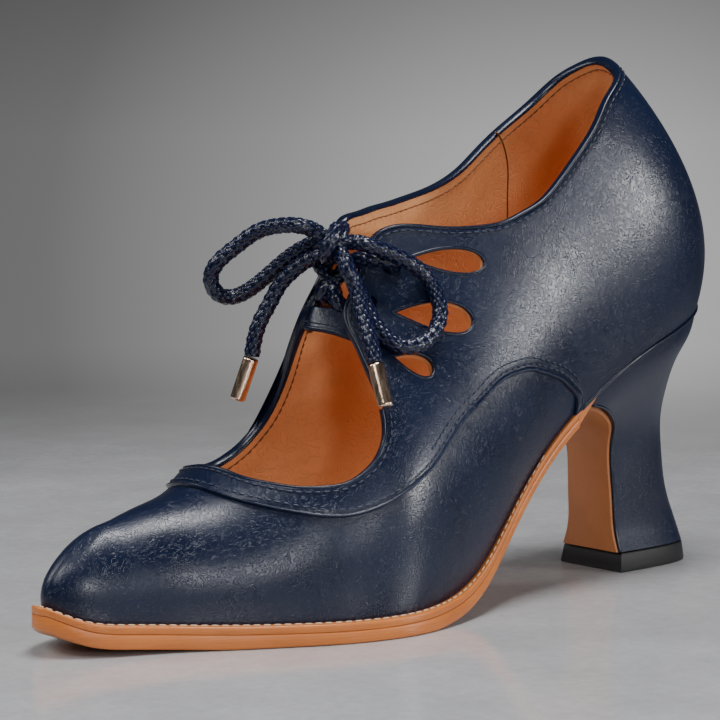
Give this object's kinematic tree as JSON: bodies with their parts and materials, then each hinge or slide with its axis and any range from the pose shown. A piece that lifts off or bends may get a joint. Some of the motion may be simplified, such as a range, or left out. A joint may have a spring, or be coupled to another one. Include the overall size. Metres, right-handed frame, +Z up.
{
  "type": "lace up heel",
  "caption": "Left leather court shoe with a keyhole throat, teardrop cut-outs, a cord tied in a bow, a welted sole and a tall waisted heel.",
  "frame": {"origin": "centre of the bounding box of the shoe without the bow, at the floor", "axes": "+X towards the heel, the toe at -X; +Y towards the inner side of the foot; +Z up from the floor"},
  "size_m": [0.2402, 0.0774, 0.1576],
  "materials": {
    "upper_leather": "satin",
    "binding_leather": "satin",
    "lining_leather": "matte",
    "sole_leather": "satin",
    "top_piece_rubber": "matte",
    "lace_cord": "satin",
    "aglet_metal": "polished"
  },
  "bodies": {
    "root": {"upper": "upper_leather", "topline_binding": "binding_leather", "throat_strap": "upper_leather", "insole": "lining_leather", "welt": "sole_leather", "outsole": "sole_leather", "heel": "upper_leather", "heel_breast_cover": "sole_leather", "top_piece": "top_piece_rubber", "lace_crossings": "lace_cord", "lace_knot": "lace_cord", "lace_loop_outer": "lace_cord", "lace_loop_inner": "lace_cord", "lace_end_outer": "lace_cord", "lace_end_inner": "lace_cord", "aglet_outer": "aglet_metal", "aglet_inner": "aglet_metal"}
  },
  "joints": []
}
